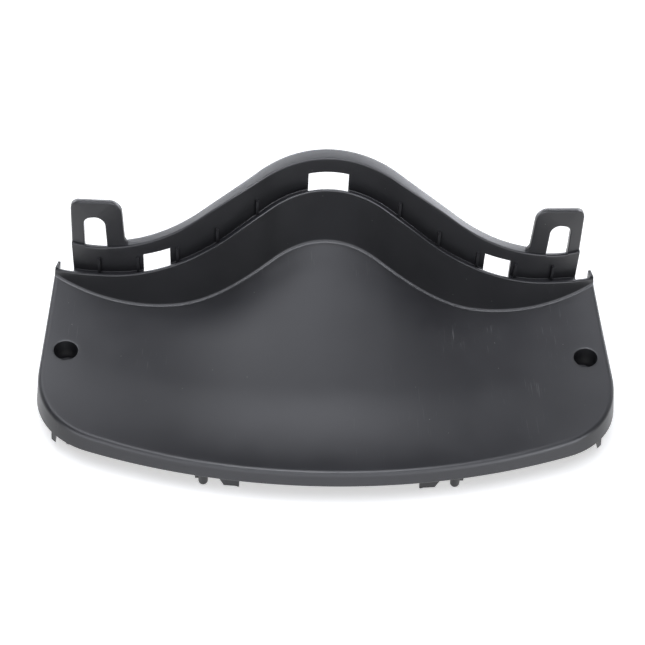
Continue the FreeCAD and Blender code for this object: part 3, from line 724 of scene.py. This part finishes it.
# Satin black moulded plastic: spark-eroded grain, uneven gloss, a few scuffs and dust specks; scales count per metre
plasticSet = {
    "dark": (0.0080, 0.0080, 0.0104), "light": (0.0112, 0.0111, 0.0140), "toneScale": 16, "refraction": 1.5,
    "glossy": 0.395, "dull": 0.44, "glossScale": 70, "grainScale": 2300, "grainHeight": 0.00003, "grainStrength": 0.3,
    "scuffScale": (1500, 60, 200), "scuffTurn": 35, "scuffPatch": 26, "scuffColor": (0.042, 0.042, 0.045),
    "dustScale": 310, "dustSize": 0.085, "dustCore": 0.6, "dustShare": 0.955, "dustColor": (0.16, 0.16, 0.155),
    "slowSpan": (0.3, 0.7), "lineSpan": (0.66, 0.72), "patchSpan": (0.58, 0.70),        # parts of the noise in use
    "wornDull": 0.25,
}


def makePlastic():
    material = bpy.data.materials.new("satinBlackPlastic")
    material.use_nodes = True
    tree = material.node_tree
    rule = Rule(tree)
    shader = tree.nodes["Principled BSDF"]
    shader.inputs["IOR"].default_value = plasticSet["refraction"]
    where = rule.node("ShaderNodeTexCoord").outputs["Object"]

    def noise(scale, detail, vector=where):
        made = rule.node("ShaderNodeTexNoise")
        made.inputs["Scale"].default_value = scale
        made.inputs["Detail"].default_value = detail
        rule.link(vector, made.inputs["Vector"])
        return made.outputs["Fac"]

    def blend(share, first, second):
        made = rule.node("ShaderNodeMix", data_type="RGBA")
        rule.link(share, made.inputs["Factor"])
        for socket, color in ((made.inputs["A"], first), (made.inputs["B"], second)):
            if isinstance(color, tuple):
                socket.default_value = (*color, 1)
            else:
                rule.link(color, socket)
        return made.outputs["Result"]

    tone = rule.span(noise(plasticSet["toneScale"], 4), *plasticSet["slowSpan"])
    color = blend(tone, plasticSet["dark"], plasticSet["light"])
    grain = noise(plasticSet["grainScale"], 2)
    # scuffs: thin stretched lines, in patches only
    turned = rule.node("ShaderNodeMapping")
    turned.inputs["Rotation"].default_value = (0, 0, math.radians(plasticSet["scuffTurn"]))
    turned.inputs["Scale"].default_value = plasticSet["scuffScale"]
    rule.link(where, turned.inputs["Vector"])
    lines = rule.span(noise(1, 1, turned.outputs["Vector"]), *plasticSet["lineSpan"])
    patch = rule.span(noise(plasticSet["scuffPatch"], 2), *plasticSet["patchSpan"])
    scuff = rule.math("MULTIPLY", lines, patch)
    color = blend(scuff, color, plasticSet["scuffColor"])
    # dust: small dots in a few of the cells
    cells = rule.node("ShaderNodeTexVoronoi")
    cells.inputs["Scale"].default_value = plasticSet["dustScale"]
    rule.link(where, cells.inputs["Vector"])
    pick = rule.node("ShaderNodeSeparateColor")
    rule.link(cells.outputs["Color"], pick.inputs["Color"])
    chosen = rule.math("GREATER_THAN", pick.outputs["Red"], plasticSet["dustShare"])
    size = plasticSet["dustSize"]
    dot = rule.span(cells.outputs["Distance"], size, size * plasticSet["dustCore"])
    dust = rule.math("MULTIPLY", chosen, dot)
    rule.link(blend(dust, color, plasticSet["dustColor"]), shader.inputs["Base Color"])
    # gloss varies slowly and is lost in scuffs and dust
    slow = noise(plasticSet["glossScale"], 3)
    gloss = rule.span(slow, *plasticSet["slowSpan"], plasticSet["glossy"], plasticSet["dull"])
    worn = rule.math("MULTIPLY", rule.math("ADD", scuff, dust), plasticSet["wornDull"])
    rule.link(rule.math("ADD", gloss, worn), shader.inputs["Roughness"])
    bump = rule.node("ShaderNodeBump")
    bump.inputs["Strength"].default_value = plasticSet["grainStrength"]
    bump.inputs["Distance"].default_value = plasticSet["grainHeight"]
    rule.link(grain, bump.inputs["Height"])
    rule.link(bump.outputs["Normal"], shader.inputs["Normal"])
    return material


plastic = makePlastic()
parts = [makePanel(), makeWall(), makeTabs(), makeFins(), makeClips(), makeRibs(plastic)]
print("parts", [(part.name, len(part.data.polygons)) for part in parts])
for part in parts:
    if not part.data.materials:
        part.data.materials.append(plastic)

# one moulding, so one piece
bpy.ops.object.select_all(action="DESELECT")
for part in parts:
    part.select_set(True)
bpy.context.view_layer.objects.active = parts[0]
bpy.ops.object.join()
shield = parts[0]
shield.name = "legShield"
# large faces keep their own shading beside narrow rounds
shield.modifiers.new("faceWeight", "WEIGHTED_NORMAL").keep_sharp = True
graph = bpy.context.evaluated_depsgraph_get()
shield.data = bpy.data.meshes.new_from_object(shield.evaluated_get(graph), depsgraph=graph)
shield.modifiers.clear()
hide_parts("leg_shield")
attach(shield, "root")
print("shield", len(shield.data.polygons), "faces")

# Stage: pale floor, a wide soft light above, and white boards all round that show only in the gloss
stageSet = {
    "floor": 6.0, "floorColor": (0.8, 0.8, 0.8), "gap": 0.0002, "lightColor": (0.925, 0.945, 1.0), "aim": (0, 0, 0.04),
    "seenGlow": 0.60, "whiteFrom": 0.4, "whiteTo": 1.4,         # distances from the part
    "mirrorGlow": 0.9, "fadeFrom": -0.22, "fadeTo": -0.1,       # depths in front of it
}
lightSet = [
    {"name": "softTop", "spot": (-0.1, -0.1, 1.2), "size": (1.6, 1.3), "power": 20, "gloss": False},
    {"name": "topBoard", "spot": (0.0, -0.05, 1.2), "size": (0.6, 0.5), "power": 13.5},
    {"name": "topLeftBoard", "spot": (-0.5, 0.5, 1.15), "size": (0.6, 0.5), "power": 4.6},
    {"name": "topRightBoard", "spot": (0.5, 0.5, 1.15), "size": (0.6, 0.5), "power": 1.2},
    {"name": "backBoard", "spot": (0.0, 1.5, 0.3), "size": (1.2, 0.6), "power": 35.5},
    {"name": "backLeftBoard", "spot": (-1.15, 1.2, 0.35), "size": (1.1, 0.7), "power": 12},
    {"name": "backRightBoard", "spot": (1.1, 1.2, 0.4), "size": (1.1, 0.7), "power": 19},
    {"name": "frontBoard", "spot": (0.0, -1.8, 0.35), "size": (2.4, 0.7), "power": 24},
    {"name": "frontHighBoard", "spot": (0.0, -1.3, 1.3), "size": (2.4, 0.8), "power": 24},
    {"name": "frontLeftBoard", "spot": (-1.5, -1.2, 0.6), "size": (1.0, 1.0), "power": 18},
    {"name": "frontRightBoard", "spot": (1.5, -1.2, 0.6), "size": (1.0, 1.0), "power": 27},
]


def makeStage():
    mesh = bpy.data.meshes.new("floor")
    half = stageSet["floor"] / 2
    mesh.from_pydata([(-half, -half, 0), (half, -half, 0), (half, half, 0), (-half, half, 0)], [], [(0, 1, 2, 3)])
    floor = bpy.data.objects.new("floor", mesh)
    bpy.context.scene.collection.objects.link(floor)
    floor.location.z = shieldLow.z - stageSet["gap"]
    material = bpy.data.materials.new("paleFloor")
    material.use_nodes = True
    tree = material.node_tree
    tree.nodes.clear()
    rule = Rule(tree)
    diffuse = rule.node("ShaderNodeBsdfDiffuse")
    diffuse.inputs["Color"].default_value = (*stageSet["floorColor"], 1)
    ray = rule.node("ShaderNodeLightPath").outputs
    where = rule.node("ShaderNodeTexCoord").outputs["Object"]
    # the camera sees the floor turn white away from the part
    away = rule.node("ShaderNodeVectorMath", operation="LENGTH")
    rule.link(where, away.inputs[0])
    paler = rule.span(away.outputs["Value"], stageSet["whiteFrom"], stageSet["whiteTo"], stageSet["seenGlow"])
    seen = rule.math("MULTIPLY", ray["Is Camera Ray"], paler)
    # in reflections the floor fades out in front of the part
    split = rule.node("ShaderNodeSeparateXYZ")
    rule.link(where, split.inputs[0])
    fade = rule.span(split.outputs["Y"], stageSet["fadeFrom"], stageSet["fadeTo"], 0, stageSet["mirrorGlow"],
                     "SMOOTHSTEP")
    mirrored = rule.math("MULTIPLY", ray["Is Glossy Ray"], fade)
    glow = rule.node("ShaderNodeEmission")
    rule.link(rule.math("ADD", seen, mirrored), glow.inputs["Strength"])
    add = rule.node("ShaderNodeAddShader")
    rule.link(diffuse.outputs[0], add.inputs[0])
    rule.link(glow.outputs[0], add.inputs[1])
    rule.link(add.outputs[0], rule.node("ShaderNodeOutputMaterial").inputs["Surface"])
    mesh.materials.append(material)
    world = bpy.data.worlds.new("softWhite")
    bpy.context.scene.world = world
    world.use_nodes = True
    sky = Rule(world.node_tree)
    backdrop = world.node_tree.nodes["Background"]
    backdrop.inputs["Color"].default_value = (1, 1, 1, 1)
    sky.link(sky.node("ShaderNodeLightPath").outputs["Is Camera Ray"], backdrop.inputs["Strength"])


def softbox(name, spot, size, power, gloss=True):
    lamp = bpy.data.lights.new(name, "AREA")
    lamp.shape = "RECTANGLE"
    lamp.size, lamp.size_y = size
    lamp.energy = power
    lamp.color = stageSet["lightColor"]
    light = bpy.data.objects.new(name, lamp)
    light.location = spot
    light.visible_diffuse, light.visible_glossy = not gloss, gloss
    aim = Vector(stageSet["aim"]) - Vector(spot)
    light.rotation_euler = aim.to_track_quat("-Z", "Y").to_euler()
    bpy.context.scene.collection.objects.link(light)


makeStage()
for settings in lightSet:
    softbox(**settings)
print("stage", len(lightSet), "lights")

# Camera as the photograph was taken: distances in millimetres, angles in degrees
cameraSet = {
    "target": (-3.3, 7.98, 42), "distance": 819.93, "pitch": 41, "yaw": 3.4, "roll": 3.1, "view": 25, "near": 10,
}


def makeCamera():
    pitch, yaw, roll = [math.radians(cameraSet[key]) for key in ("pitch", "yaw", "roll")]
    ahead = Vector((math.sin(yaw) * math.cos(pitch), math.cos(yaw) * math.cos(pitch), -math.sin(pitch)))
    right = Vector((math.cos(yaw), -math.sin(yaw), 0))
    down = ahead.cross(right)
    across = right * math.cos(roll) - down * math.sin(roll)
    up = -(right * math.sin(roll) + down * math.cos(roll))
    lens = bpy.data.cameras.new("camera")
    lens.sensor_fit = "AUTO"
    lens.angle = math.radians(cameraSet["view"])
    lens.clip_start = cameraSet["near"] * mm
    eye = bpy.data.objects.new("camera", lens)
    spot = (Vector(cameraSet["target"]) - ahead * cameraSet["distance"]) * mm
    turn = Matrix((across, up, -ahead)).transposed().to_4x4()
    eye.matrix_world = Matrix.Translation(spot) @ turn
    bpy.context.scene.collection.objects.link(eye)
    bpy.context.scene.camera = eye


makeCamera()
bpy.context.scene.view_settings.view_transform = "Standard"
